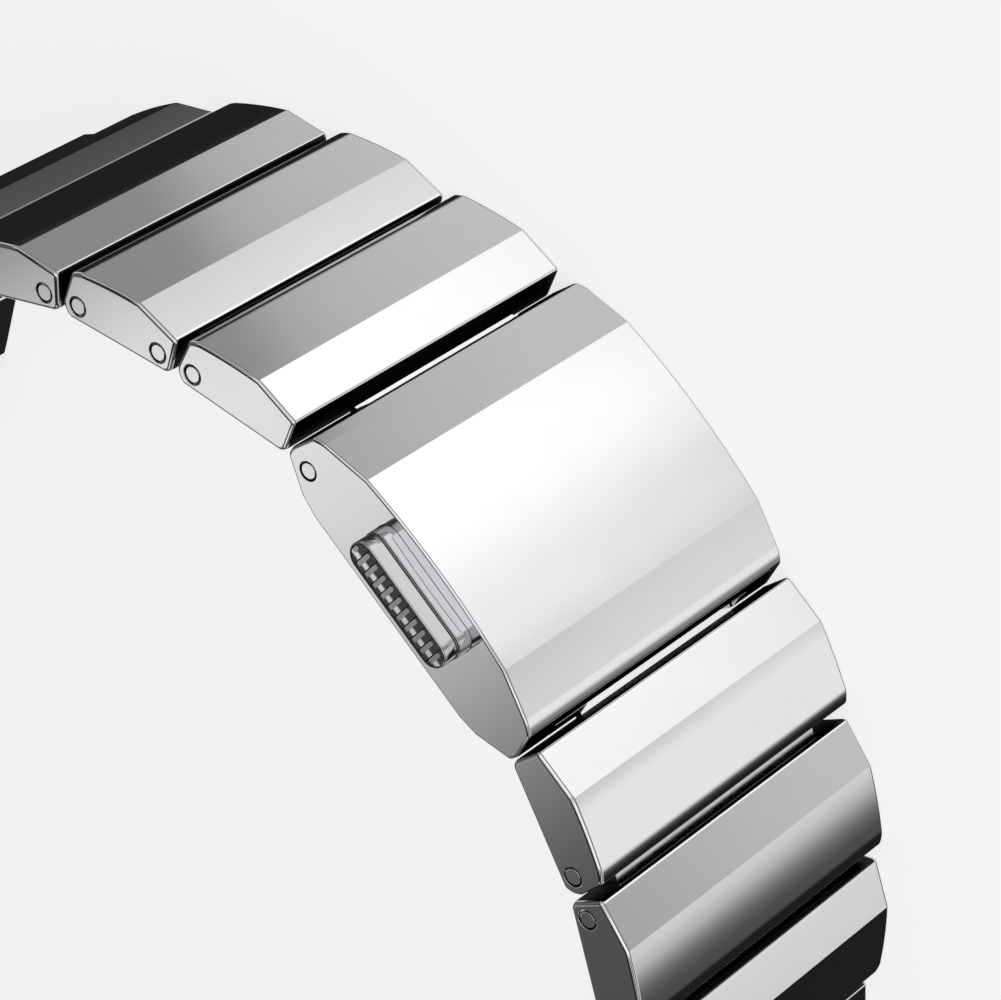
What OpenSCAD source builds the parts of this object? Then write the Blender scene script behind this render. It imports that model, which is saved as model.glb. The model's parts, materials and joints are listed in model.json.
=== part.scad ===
// Steel watch bracelet: solid bevelled links on hidden connector plates, and a push-button clasp.
// The bracelet lies on its side, as it does when it is set down on a table.
// Drawing plane: x runs along the clasp, y points out of the clasp's outer face, z runs across the strap.

/* [Strap] */
// Width of the strap, from one side face to the other
strap_width = 22; // [18:0.5:26]
// Solid cheek of a link beside its connector pocket
link_cheek = 2.1; // [1.6:0.1:3.5]
// Free play between a connector and each cheek
cheek_play = 0.1; // [0.05:0.01:0.2]

/* [Link] */
// Distance between the two pins of one link
pin_spacing = 5.81; // [5:0.01:8]
// Pin axis down to the flat underside
link_below = 0.96; // [0.9:0.01:1.3]
// Pin axis up to the ridge between the two outer facets
ridge_height = 2.33; // [2.1:0.01:2.8]
// Ridge to the near pin, along the link
ridge_back = 1.56; // [1:0.01:2]
// Near pin to the top corner of the end face
end_reach = 1.24; // [1.1:0.01:1.25]
// Slope of the short bevelled facet
bevel_angle = 20; // [12:1:25]
// Lean of the end face
end_lean = 8.5; // [4:0.5:10]
// Far pin axis up to the far edge of the long facet
far_height = 2.02; // [1.8:0.01:2.3]
// Lean of the far face above the pin
far_lean = 13.7; // [6:0.1:16]
// Radius of the round far end about its pin
far_radius = 1.09; // [0.97:0.01:1.12]
// Radius of the slightly domed long facet
dome_radius = 26; // [20:1:80]
// Corner radius at the foot of the end face
foot_corner = 0.5; // [0.2:0.05:0.6]
// Corner radius at the top of the end face
lip_corner = 0.28; // [0.1:0.02:0.3]
// Corner radius at the top of the far face
far_corner = 0.3; // [0.2:0.05:0.4]
// Where the long facet starts to roll off toward its far corner
far_ease = 0.85; // [0.7:0.05:1.2]
// Corner radius where the round far end meets the underside
far_foot_corner = 0.5; // [0.2:0.05:0.6]

/* [Connector and pins] */
// Distance between the two pins of one connector
connector_span = 2.49; // [2.45:0.01:3.2]
// Radius of the connector around each pin
knuckle_radius = 0.8; // [0.65:0.01:0.84]
// Clearance between a connector and the round of its pocket
pocket_play = 0.1; // [0.06:0.01:0.15]
// Height of a pocket's roof over the pin axis
pocket_roof = 1.0; // [0.96:0.01:1.02]
// Radius of a hinge pin
pin_radius = 0.47; // [0.3:0.01:0.5]
// Radial clearance of a pin that turns in its hole
pin_play = 0.03; // [0.015:0.005:0.06]
// Pin end below the side face
pin_recess = 0.02; // [0.01:0.01:0.2]
// Outer radius of the ring groove around a pin end
ring_radius = 0.6; // [0.58:0.01:0.75]
// Depth of the ring groove
ring_depth = 0.3; // [0.1:0.05:0.8]

/* [Clasp hinges] */
// Near end of the first link to its clasp hinge, along the link from the place of a near pin
tongue_reach = 2.62; // [2.6:0.01:3.2]
// Clasp hinge below the pin line of the first link
tongue_drop = 0.98; // [0.9:0.01:1.1]
// Radius of the barrel on the tongue
barrel_radius = 0.9; // [0.75:0.01:0.95]
// Thickness of the neck between link and barrel
neck_thick = 0.5; // [0.4:0.02:0.9]

/* [Clasp case] */
// Length of the clasp between its end faces
clasp_length = 19.82; // [19:0.02:24]
// Thickness of the clasp, crest to underside
clasp_thick = 5.52; // [5.3:0.02:6.2]
// Clasp end face to the hinge axis
hinge_inset = 1.51; // [1.45:0.01:1.7]
// Clasp crest down to the hinge axis
hinge_depth = 3.7; // [3.6:0.01:3.9]
// Flat of the outer face, from the end to the ridge
clasp_ridge_inset = 3.92; // [3:0.02:5]
// Crest down to the ridge
clasp_ridge_drop = 0.38; // [0.1:0.01:0.6]
// End face to the shoulder above it
shoulder_inset = 0.46; // [0.3:0.02:0.7]
// Crest down to the shoulder
shoulder_drop = 1.61; // [1.3:0.01:2]
// Corner radius of the shoulder
shoulder_corner = 0.4; // [0.2:0.05:0.5]
// Where the outer bevel starts to roll off toward the shoulder
shoulder_ease = 0.85; // [0.7:0.05:1.2]
// Hinge axis up to the fullest point of the end face
belly_rise = 0.1; // [0:0.05:0.5]
// End face to the heel below it
heel_inset = 0.1; // [0.08:0.01:0.5]
// Hinge axis down to the heel
heel_drop = 0.5; // [0.4:0.05:0.9]
// Corner radius of the heel
heel_corner = 0.4; // [0.1:0.05:0.45]
// End face to the keel between heel and flat underside
keel_inset = 2.2; // [1.2:0.02:2.4]
// Underside up to the keel
keel_rise = 0.25; // [0.2:0.05:0.6]
// End face to the flat underside
base_inset = 3.5; // [3:0.1:4]
// Thickness of the side walls beside the insert
case_cheek = 2.5; // [2.2:0.1:3]
// Thickness of the bottom cover
cover_thick = 0.7; // [0.5:0.05:0.9]
// Wall left outside the bottom cover
cover_rim = 0.5; // [0.4:0.05:0.8]
// Wall between the recess of the tongue and the channel of the insert
recess_wall = 0.8; // [0.5:0.05:1.2]

/* [Screws] */
// Shank radius of the screws
screw_radius = 0.35; // [0.3:0.01:0.4]
// Clearance of a screw in the piece that it holds
screw_play = 0.05; // [0.03:0.01:0.1]
// Head radius of the cover screws
cover_head_radius = 0.6; // [0.5:0.02:0.7]
// Head height of the cover screws
cover_head_height = 0.32; // [0.2:0.02:0.4]
// Length of the cover screws
cover_screw_length = 2.2; // [1.5:0.1:2.4]
// Head radius of the catch screw
catch_head_radius = 0.75; // [0.6:0.05:0.9]
// Head height of the catch screw
catch_head_height = 0.25; // [0.2:0.01:0.27]
// Length of the catch screw
catch_screw_length = 1.5; // [1:0.1:1.7]
// Width of a screw's slot
slot_width = 0.2; // [0.15:0.01:0.25]
// Depth of a screw's slot
slot_depth = 0.16; // [0.1:0.01:0.18]

/* [Insert] */
// Thickness of the insert blade
blade_thick = 1.5; // [1.2:0.05:1.6]
// Length of the insert blade, from the hinge axis to its tip
blade_length = 12.7; // [11:0.1:13]
// Free play of the blade in its channel
blade_play = 0.1; // [0.05:0.01:0.2]
// Mean thickness of the two hinge ears; the tongue fills the space between them
ear_thick = 1.7; // [1.2:0.1:2.4]
// How far both tongues lie off the middle of the strap, away from the button
tongue_shift = 1.05; // [0:0.05:1.1]
// How much deeper the insert's hinge sits in the clasp than the case's own hinge
insert_setback = 0.12; // [0:0.01:0.15]
// Room over the blade for the catch
catch_room = 0.55; // [0.5:0.01:0.7]
// Play between the catch's tooth and its window, along the blade
window_play = 0.1; // [0.05:0.01:0.15]

/* [Push-button] */
// Length of the button
button_length = 7.85; // [6:0.05:9]
// Width of the button
button_width = 1.9; // [1.5:0.05:2]
// Height of the button shank above the side wall
button_shank = 0.95; // [0.6:0.05:1.2]
// Height of the cap
cap_height = 1.0; // [0.9:0.05:1.4]
// Groove between shank and cap
cap_gap = 0.16; // [0.05:0.01:0.2]
// Offset of the button along the clasp
button_shift = 0.12; // [-1:0.01:1]
// Crest down to the button axis
button_depth = 1.75; // [1.7:0.01:2]
// Travel of the button
button_travel = 0.9; // [0.5:0.05:0.9]
// Clearance of the button in its opening
button_play = 0.03; // [0.03:0.01:0.1]
// Step in from the shank to the cap
cap_inset = 0.04; // [0:0.01:0.1]
// Rim of the cap around its ribbed inlay
cap_rim = 0.1; // [0.06:0.01:0.2]
// Depth of the inlay's pocket
inlay_depth = 0.4; // [0.35:0.01:0.45]
// Rim down to the inlay's floor
inlay_sink = 0.14; // [0.12:0.01:0.2]
// Ribs across the inlay
rib_count = 11; // [5:1:13]
// Length of a rib
rib_length = 1.14; // [0.8:0.02:1.3]
// Width of a rib
rib_width = 0.26; // [0.15:0.01:0.4]
// Height of a rib over the inlay's floor
rib_rise = 0.12; // [0.06:0.01:0.13]
// Middle of the ribs toward the clasp's underside
rib_shift = 0.04; // [0:0.01:0.2]
// Inset of the neck that the cap is pressed on
neck_inset = 0.15; // [0.1:0.01:0.25]
// Height of the neck in the cap
neck_height = 0.4; // [0.3:0.05:0.45]
// Reach of the button's inner flange beyond its ends
flange_reach = 0.48; // [0.3:0.02:0.6]
// Thickness of the inner flange
flange_thick = 1.15; // [0.8:0.05:1.3]

/* [Catch and springs] */
// Thickness of the catch spring
leaf_thick = 0.25; // [0.15:0.01:0.3]
// Width of the catch spring
leaf_width = 4; // [2:0.1:5]
// Length of the catch's tooth along the insert
tooth_length = 0.6; // [0.4:0.05:0.8]
// Reach of the tooth below the leaf
tooth_drop = 1.1; // [0.8:0.05:1.4]
// Width of the tab that the button pushes
tab_width = 1.6; // [1:0.1:2]
// Height of the tab
tab_rise = 0.7; // [0.5:0.05:0.9]
// Turns of each button spring
button_turns = 6; // [4:1:8]
// Wire radius of the button springs
button_wire = 0.1; // [0.06:0.01:0.12]
// Mean coil radius of the button springs
button_coil = 0.42; // [0.3:0.01:0.46]

/* [End links] */
// Gap between the lugs that an end link fits
lug_gap = 20; // [16:0.5:21]
// Free play of the nose between the lugs, on each side
lug_play = 0.1; // [0.05:0.01:0.2]
// Radius of the nose around the spring bar
nose_radius = 1.25; // [1.1:0.05:1.4]
// Shoulder of the end link to its spring bar
nose_reach = 1.5; // [1.3:0.05:2.5]
// Top of the shoulder above the far edge of the other links
shoulder_rise = 0.2; // [0:0.05:0.3]
// Outer radius of the spring bar's tube
bar_radius = 0.9; // [0.85:0.01:0.95]
// Wall of the spring bar's tube, pinched in at both ends
bar_wall = 0.15; // [0.1:0.01:0.18]
// Radius of the spring bar's tips
tip_radius = 0.4; // [0.3:0.01:0.4]
// Length of a tip that enters a lug
tip_reach = 0.9; // [0.6:0.05:0.95]
// Step from a tip up to its thicker shank in the nose
tip_step = 0.16; // [0.16:0.01:0.2]
// Turns of the spring in a spring bar
bar_turns = 13; // [8:1:16]

/* [Hidden] */
$fn = 48;

// How far each link leans from the line of the clasp as the bracelet lies at rest, clasp to watch
lean_a = [27.6, 33, 48.8, 66, 80, 97, 114];
lean_b = [19.5, 32.2, 50, 66, 81, 98, 114];

steel = "#b4b6b9";
pin_steel = "#8f9295";
spring_steel = "#a79f8c";
dark_steel = "#3b3c3e";

// How far a cut runs past what it cuts, and how far two bodies of one piece overlap
overcut = 1;
overlap = 0.1;
// A cut that opens into another one laps it by this
lap = 0.01;
corner_steps = 6;
dome_steps = 10;
// Polishing rolls an outer edge off in a wide arc of this radius and turn before its corner
ease_radius = 2;
ease_turn = 18;

pocket_width = strap_width - 2 * link_cheek;
connector_width = pocket_width - 2 * cheek_play;
pocket_radius = knuckle_radius + pocket_play;
nose_width = lug_gap - 2 * lug_play;
nose_rise = nose_radius - link_below;

crest_y = clasp_thick / 2;
half_clasp = clasp_length / 2;
hinge_x = half_clasp - hinge_inset;
hinge_y = crest_y - hinge_depth;
insert_x = hinge_x - insert_setback;
// The tongues' recess is a little rounder than the barrels that turn in it
recess_radius = barrel_radius + pocket_play;
ear_rim = 0.05;
ear_radius = barrel_radius + ear_rim;

cover_play = 0.03;
cover_lap = 0.3;
cover_top = -crest_y + cover_thick;
blade_low = cover_top + blade_play;
blade_top = blade_low + blade_thick;
channel_roof = blade_top + catch_room;
channel_width = strap_width - 2 * case_cheek;
blade_width = channel_width - 2 * blade_play;
channel_start = -hinge_x + recess_radius + recess_wall;
cover_start = channel_start - cover_lap;
cover_end = insert_x - recess_radius - ear_rim;
// The tongue fills the space between the insert's two ears
tongue_width = blade_width - 2 * (ear_thick + cheek_play);
tongue_low = (strap_width - tongue_width) / 2 - tongue_shift;
tongue_high = tongue_low + tongue_width;

button_y = crest_y - button_depth;
flange_half = button_length / 2 + flange_reach;
chamber_spare = 0.5;
chamber_back = strap_width - case_cheek - flange_thick - button_travel - chamber_spare;
button_back = strap_width - case_cheek - flange_thick - button_play;
coil_play = 0.13;
coil_end_play = 0.02;
spring_seat = 0.6;
spring_well = 3.5;
spring_offset = 2.6;
well_radius = button_coil + button_wire + coil_play;
pusher_reach = 1.05;
pusher_width = 1.4;
pusher_thick = 0.55;
cap_base = strap_width + button_shank + cap_gap;
cap_top = cap_base + cap_height;

catch_z = strap_width / 2;
tooth_x = 1.3;
tooth_end = tooth_x + tooth_length / 2;
tab_start = tooth_end - tab_width;
catch_play = 0.2;
catch_lift = 0.95;
catch_root = 0.2;
catch_screw_inset = 1;
catch_screw_x = channel_start + catch_root + catch_screw_inset;

function unit(v) = v / norm(v);
function dir(a) = [cos(a), sin(a)];
function turned(p, a) = [p.x * cos(a) - p.y * sin(a), p.x * sin(a) + p.y * cos(a)];
function arc(c, r, from, to, n) = [for (i = [0:n]) c + r * dir(from + (to - from) * i / n)];

// The round that replaces the corner at p between the lines to a and to b
function fillet(a, p, b, r, n = corner_steps) =
    let (da = unit(a - p), db = unit(b - p), half = acos(da * db) / 2,
         c = p + unit(da + db) * r / sin(half),
         pa = p + da * r / tan(half) - c, pb = p + db * r / tan(half) - c,
         from = atan2(pa.y, pa.x), sweep = atan2(pa.x * pb.y - pa.y * pb.x, pa * pb))
    [for (i = [0:n]) c + r * dir(from + sweep * i / n)];

// A corner that rolls off first: a wide arc that starts before p on the line from a, then the round to b
function eased(a, p, b, start, r) =
    let (along = unit(p - a), side = sign(cross(p - a, b - p)), across = side * [-along.y, along.x],
         s = p - start * along,
         rolled = [for (i = [0:corner_steps - 1])
             let (t = ease_turn * i / (corner_steps - 1))
             s + ease_radius * (sin(t) * along + (1 - cos(t)) * across)],
         e = rolled[corner_steps - 1],
         onward = cos(ease_turn) * along + sin(ease_turn) * across,
         q = e + onward * cross(p - e, b - p) / cross(onward, b - p))
    concat(rolled, fillet(e, q, b, r));

function reversed(list) = [for (i = [len(list) - 1:-1:0]) list[i]];

// Link outline, with the near pin at the origin, the clasp toward +x and the outside toward +y
far_pin = [-pin_spacing, 0];
ridge = [-ridge_back, ridge_height];
lip = [end_reach, ridge_height - (end_reach + ridge_back) * tan(bevel_angle)];
foot = [lip.x - (lip.y + link_below) * tan(end_lean), -link_below];
far_top = [far_pin.x - far_radius + far_height * tan(far_lean), far_height];
far_side = [far_pin.x - far_radius, 0];
// Below the pin the round far end leaves its circle for a straight slope down to the underside
far_round = 222;
far_round_end = far_pin + far_radius * dir(far_round);
far_foot = [far_round_end.x + (far_round_end.y + link_below) * tan(far_round - 180), -link_below];

// The shallow dome between two points, found from its chord and radius
function dome(a, b, r, n = dome_steps) =
    let (half = norm(b - a) / 2, mid = (a + b) / 2, along = unit(b - a),
         c = mid + sqrt(r * r - half * half) * [-along.y, along.x],
         from = atan2(a.y - c.y, a.x - c.x), sweep = 2 * asin(half / r))
    [for (i = [0:n]) c + r * dir(from + sweep * i / n)];

function upper_outline(end) = concat(
    fillet([-pin_spacing, -link_below], foot, lip, foot_corner),
    fillet(foot, lip, ridge, lip_corner),
    dome(ridge, end, dome_radius));

function drop_last(list) = [for (i = [0:len(list) - 2]) list[i]];
function before_ease(list) = [for (p = list) if (norm(p - list[len(list) - 1]) > far_ease + lap) p];

link_outline = concat(
    before_ease(upper_outline(far_top)),
    eased(dome(ridge, far_top, dome_radius)[dome_steps - 1], far_top, far_side, far_ease, far_corner),
    arc(far_pin, far_radius, 180, far_round, corner_steps),
    fillet(far_round_end, far_foot, foot, far_foot_corner));

// Chain geometry: near pins, far pins and connector leans along one side of the bracelet
hinge = [-hinge_x, hinge_y];
function near_pin(lean, k) = k == 0
    ? hinge - turned([tongue_reach, -tongue_drop], lean[0])
    : outer_pin(lean, k - 1) - connector_span * dir(connector_lean(lean, k));
function outer_pin(lean, k) = near_pin(lean, k) - pin_spacing * dir(lean[k]);
function connector_lean(lean, k) = (lean[k - 1] + lean[k]) / 2;

// The object's front, the clasp's outer face, looks toward -y
module in_place() {
    rotate([0, 0, 180]) children();
}

module side_a() {
    in_place() children();
}

module side_b() {
    in_place() mirror([1, 0, 0]) translate([insert_setback, 0, 0]) children();
}

module at_link(lean, k) {
    p = near_pin(lean, k);
    translate([p.x, p.y, 0]) rotate([0, 0, lean[k]]) children();
}

module at_connector(lean, k) {
    p = outer_pin(lean, k - 1);
    translate([p.x, p.y, 0]) rotate([0, 0, connector_lean(lean, k)]) children();
}

module slab(low, high) {
    translate([0, 0, low]) linear_extrude(high - low) children();
}

module box(low, high) {
    translate(low) cube(high - low);
}

module bore(x, y, r, low, high) {
    translate([x, y, low]) cylinder(r = r, h = high - low);
}

// Ring groove around a pin end, at both side faces
module ring_grooves(x, y) {
    bore(x, y, ring_radius, -overcut, ring_depth);
    bore(x, y, ring_radius, strap_width - ring_depth, strap_width + overcut);
}

module pin_hole(x, y, r) {
    bore(x, y, r, -overcut, strap_width + overcut);
    ring_grooves(x, y);
}

// Pocket for a connector, open at the link's end and underside
// toward is 1 at the near end and -1 at the far end
module pocket(x, toward) {
    low = -link_below - overcut;
    reach = max(end_reach, far_radius) + overcut;
    slab(link_cheek, strap_width - link_cheek) translate([x, 0]) mirror([toward < 0 ? 1 : 0, 0]) {
        circle(r = pocket_radius);
        translate([0, low]) square([reach, pocket_roof - low]);
        translate([-pocket_radius, low]) square([pocket_radius + reach, -low]);
    }
}

module link() {
    color(steel) difference() {
        slab(0, strap_width) polygon(link_outline);
        pocket(0, 1);
        pocket(far_pin.x, -1);
        pin_hole(0, 0, pin_radius + pin_play);
        pin_hole(far_pin.x, 0, pin_radius + pin_play);
    }
}

// First link on either side: its near end carries a tongue with a hinge barrel
module tongue_link() {
    color(steel) difference() {
        union() {
            slab(0, strap_width) polygon(link_outline);
            slab(tongue_low, tongue_high) {
                translate([tongue_reach, -tongue_drop]) circle(r = barrel_radius);
                translate([0, -link_below]) square([tongue_reach, neck_thick]);
            }
        }
        pocket(far_pin.x, -1);
        pin_hole(far_pin.x, 0, pin_radius + pin_play);
        bore(tongue_reach, -tongue_drop, pin_radius + pin_play, -overcut, strap_width + overcut);
    }
}

// End link: full width up to its shoulder, then a nose that fits between the lugs
module end_link() {
    shoulder_x = far_pin.x + nose_reach;
    shoulder_top = [shoulder_x, far_height + shoulder_rise];
    color(steel) difference() {
        union() {
            slab(0, strap_width) polygon(concat(
                drop_last(upper_outline(shoulder_top)),
                fillet(ridge, shoulder_top, [shoulder_x, -link_below], lip_corner),
                [[shoulder_x, -link_below]]));
            slab(nose_face, strap_width - nose_face) {
                translate([far_pin.x, nose_rise]) circle(r = nose_radius);
                translate([far_pin.x, -link_below]) square([nose_reach + overlap, 2 * nose_radius]);
            }
        }
        pocket(0, 1);
        pin_hole(0, 0, pin_radius + pin_play);
        bore(far_pin.x, nose_rise, bar_radius + pin_play, -overcut, strap_width + overcut);
    }
}

// Hidden plate between two links, with its two pins pressed in
// It runs from the outer pin away from the clasp
module connector() {
    low = (strap_width - connector_width) / 2;
    color(pin_steel) difference() {
        slab(low, low + connector_width) {
            circle(r = knuckle_radius);
            translate([-connector_span, 0]) circle(r = knuckle_radius);
            translate([-connector_span, -knuckle_radius]) square([connector_span, 2 * knuckle_radius]);
        }
        bore(0, 0, pin_radius, 0, strap_width);
        bore(-connector_span, 0, pin_radius, 0, strap_width);
    }
}

module connector_pins() {
    color(pin_steel) for (x = [0, -connector_span])
        bore(x, 0, pin_radius, pin_recess, strap_width - pin_recess);
}

// Half of the clasp's outline, from the underside up to the ridge
clasp_ridge = [half_clasp - clasp_ridge_inset, crest_y - clasp_ridge_drop];
shoulder = [half_clasp - shoulder_inset, crest_y - shoulder_drop];
belly = [half_clasp, hinge_y + belly_rise];
heel = [half_clasp - heel_inset, hinge_y - heel_drop];
keel = [half_clasp - keel_inset, -crest_y + keel_rise];
base_edge = [half_clasp - base_inset, -crest_y];
crest_radius = (clasp_ridge.x * clasp_ridge.x + clasp_ridge_drop * clasp_ridge_drop) / (2 * clasp_ridge_drop);
half_outline = concat(
    [base_edge, keel],
    fillet(keel, heel, belly, heel_corner),
    [belly],
    reversed(eased(clasp_ridge, shoulder, belly, shoulder_ease, shoulder_corner)));

function flipped(list) = [for (p = reversed(list)) [-p.x, p.y]];

clasp_outline = concat(
    half_outline,
    dome(clasp_ridge, [-clasp_ridge.x, clasp_ridge.y], crest_radius, 2 * dome_steps),
    flipped(half_outline));

module stadium(length, width) {
    half = (length - width) / 2;
    square([2 * half, width], center = true);
    for (x = [-half, half]) translate([x, 0]) circle(d = width);
}

module at_button() {
    translate([button_shift, button_y, 0]) children();
}

screw_margin = 1.2;
screw_edge = 1.5;

module cover_screw_places() {
    for (x = [cover_start + screw_margin, cover_end - screw_margin],
         z = [screw_edge, strap_width - screw_edge])
        translate([x, -crest_y, z]) rotate([-90, 0, 0]) children();
}

// Recess at one end of the clasp in which a tongue turns; it is open at the end and underneath
module tongue_recess() {
    reach = hinge_inset + overcut;
    slab(tongue_low - cheek_play, tongue_high + cheek_play) translate([-hinge_x, hinge_y]) {
        circle(r = recess_radius);
        translate([-reach, -clasp_thick]) square([reach, clasp_thick + recess_radius]);
    }
}

module button_room() {
    half_width = button_width / 2 + button_play;
    at_button() {
        slab(chamber_back, strap_width + overcut)
            stadium(button_length + 2 * button_play, 2 * half_width);
        box([-flange_half, -half_width, chamber_back], [flange_half, half_width, strap_width - case_cheek]);
        for (x = [-spring_offset, spring_offset])
            bore(x, 0, well_radius, chamber_back - spring_well, chamber_back + overcut);
    }
}

module clasp_case() {
    color(steel) difference() {
        slab(0, strap_width) polygon(clasp_outline);
        // Channel of the insert, open toward the mouth and toward the bottom cover
        box([channel_start, cover_top - lap, case_cheek],
            [half_clasp + overcut, channel_roof, strap_width - case_cheek]);
        box([insert_x - recess_radius, -crest_y - overcut, case_cheek],
            [half_clasp + overcut, channel_roof, strap_width - case_cheek]);
        box([cover_start, -crest_y - overcut, cover_rim],
            [cover_end + cover_play, cover_top, strap_width - cover_rim]);
        tongue_recess();
        pin_hole(-hinge_x, hinge_y, pin_radius);
        button_room();
        // Room for the catch to lift
        box([tab_start - catch_play, channel_roof - lap, catch_z - leaf_width / 2 - catch_play],
            [tooth_end + catch_play, channel_roof + catch_lift, chamber_back + catch_play]);
        translate([catch_screw_x, channel_roof - lap, catch_z]) rotate([-90, 0, 0])
            cylinder(r = screw_radius, h = catch_screw_length);
        cover_screw_places() cylinder(r = screw_radius, h = cover_screw_length + overlap);
    }
}

module clasp_cover() {
    color(steel) difference() {
        box([cover_start + cover_play, -crest_y, cover_rim + cover_play],
            [cover_end, cover_top, strap_width - cover_rim - cover_play]);
        cover_screw_places() {
            translate([0, 0, -overcut])
                cylinder(r = screw_radius + screw_play, h = cover_thick + 2 * overcut);
            translate([0, 0, -overcut])
                cylinder(r = cover_head_radius + screw_play, h = head_seat + overcut);
        }
    }
}

module slotted_screw(head_radius, head_height, length) {
    difference() {
        union() {
            cylinder(r = head_radius, h = head_height);
            cylinder(r = screw_radius, h = length);
        }
        box([-head_radius, -slot_width / 2, -overcut], [head_radius, slot_width / 2, slot_depth]);
    }
}

// The cover screws' heads sit just below the underside
head_recess = 0.04;
head_seat = cover_head_height + head_recess;

module cover_screws() {
    color(pin_steel) cover_screw_places() translate([0, 0, head_recess])
        slotted_screw(cover_head_radius, cover_head_height, cover_screw_length);
}

module clasp_hinge_pin() {
    color(pin_steel) bore(-hinge_x, hinge_y, pin_radius, pin_recess, strap_width - pin_recess);
}

ear_root = 2;
ear_mouth_play = 0.1;
tongue_relief = 0.6;
window_side_play = 0.15;
window_half = leaf_width / 2 + window_side_play;
lead = 0.8;

module insert_blade() {
    low = case_cheek + blade_play;
    high = strap_width - low;
    tip_x = insert_x - blade_length;
    color(steel) difference() {
        union() {
            box([tip_x, blade_low, low], [insert_x - tongue_relief, blade_top, high]);
            // The ears fill the mouth of the case, flush with its end face and underside
            for (ear = [[low, tongue_low - cheek_play], [tongue_high + cheek_play, high]])
                slab(ear[0], ear[1]) {
                    translate([insert_x, hinge_y]) circle(r = ear_radius);
                    translate([insert_x - ear_root, hinge_y - ear_radius]) square([ear_root, 2 * ear_radius]);
                    intersection() {
                        polygon(clasp_outline);
                        translate([insert_x - recess_radius + ear_mouth_play, -crest_y])
                            square([clasp_length, crest_y + hinge_y + ear_radius]);
                    }
                }
        }
        slab(tongue_low - cheek_play, tongue_high + cheek_play) {
            translate([insert_x, hinge_y]) circle(r = recess_radius);
            translate([insert_x - tongue_relief, -clasp_thick])
                square([recess_radius + overcut, 2 * clasp_thick]);
        }
        bore(insert_x, hinge_y, pin_radius, 0, strap_width);
        // Window for the catch, with a slanted lead at the blade's tip
        box([tooth_x - tooth_length / 2 - window_play, blade_low - overcut, catch_z - window_half],
            [tooth_end + window_play, blade_top + overcut, catch_z + window_half]);
        slab(low - overcut, high + overcut) translate([tip_x, blade_top])
            polygon([[-lap, -lead], [-lap, lap], [lead, lap]]);
    }
}

module insert_hinge_pin() {
    low = case_cheek + blade_play + pin_recess;
    color(pin_steel) bore(insert_x, hinge_y, pin_radius, low, strap_width - low);
}

// Leaf that snaps into the blade's window; the button pushes its tab
module catch_spring() {
    low = channel_roof - leaf_thick;
    tab_z = chamber_back + overlap;
    color(spring_steel) difference() {
        union() {
            box([channel_start + catch_root, low, catch_z - leaf_width / 2],
                [tooth_end, channel_roof, catch_z + leaf_width / 2]);
            box([tooth_x - tooth_length / 2, low - tooth_drop, catch_z - leaf_width / 2],
                [tooth_end, channel_roof, catch_z + leaf_width / 2]);
            box([tab_start, low, catch_z], [tooth_end, channel_roof, tab_z]);
            box([tab_start, low, tab_z - leaf_thick], [tooth_end, channel_roof + tab_rise, tab_z]);
        }
        translate([catch_screw_x, channel_roof, catch_z]) rotate([-90, 0, 0])
            cylinder(r = screw_radius + screw_play, h = 2 * overcut, center = true);
    }
}

module catch_screw() {
    color(pin_steel) translate([catch_screw_x, channel_roof - leaf_thick - catch_head_height, catch_z])
        rotate([-90, 0, 0]) slotted_screw(catch_head_radius, catch_head_height, catch_screw_length);
}

flange_side_play = 0.02;

module button_body() {
    reach = flange_half - button_play;
    half_width = button_width / 2;
    color(steel) at_button() difference() {
        union() {
            slab(button_back + flange_thick / 2, strap_width + button_shank)
                stadium(button_length, button_width);
            box([-reach, -half_width + flange_side_play, button_back],
                [reach, half_width - flange_side_play, button_back + flange_thick]);
            // Neck that the cap is pressed on
            slab(strap_width, cap_base + neck_height)
                stadium(button_length - 2 * neck_inset, button_width - 2 * neck_inset);
            // Pusher for the catch spring's tab
            translate([tooth_end - button_shift - pusher_width, flange_side_play - half_width, 0])
                box([0, 0, button_back - pusher_reach], [pusher_width, pusher_thick, button_back + overlap]);
        }
        for (x = [-spring_offset, spring_offset])
            bore(x, 0, well_radius, button_back - overcut, button_back + spring_seat);
    }
}

cap_length = button_length - 2 * cap_inset;
cap_width = button_width - 2 * cap_inset;
inlay_length = cap_length - 2 * cap_rim;
inlay_width = cap_width - 2 * cap_rim;

module button_cap() {
    color(steel) at_button() difference() {
        slab(cap_base, cap_top) stadium(cap_length, cap_width);
        slab(cap_base - overcut, cap_base + neck_height)
            stadium(button_length - 2 * neck_inset, button_width - 2 * neck_inset);
        slab(cap_top - inlay_depth, cap_top + overcut) stadium(inlay_length, inlay_width);
    }
}

// Outline of a rib, lying across the button, with its round end toward the clasp's outer face
module rib() {
    r = rib_width / 2;
    translate([-r, -rib_length / 2]) square([rib_width, rib_length - r]);
    translate([0, rib_length / 2 - r]) circle(r = r);
}

// Dark inlay pressed into the cap: a floor with a row of ribs
module button_inlay() {
    pitch = inlay_length / rib_count;
    floor_z = cap_top - inlay_sink;
    color(dark_steel) at_button() {
        slab(cap_top - inlay_depth, floor_z) stadium(inlay_length, inlay_width);
        slab(floor_z - overlap, floor_z + rib_rise) intersection() {
            stadium(inlay_length, inlay_width);
            for (i = [0:rib_count - 1]) translate([(i - (rib_count - 1) / 2) * pitch, -rib_shift]) rib();
        }
    }
}

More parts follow.
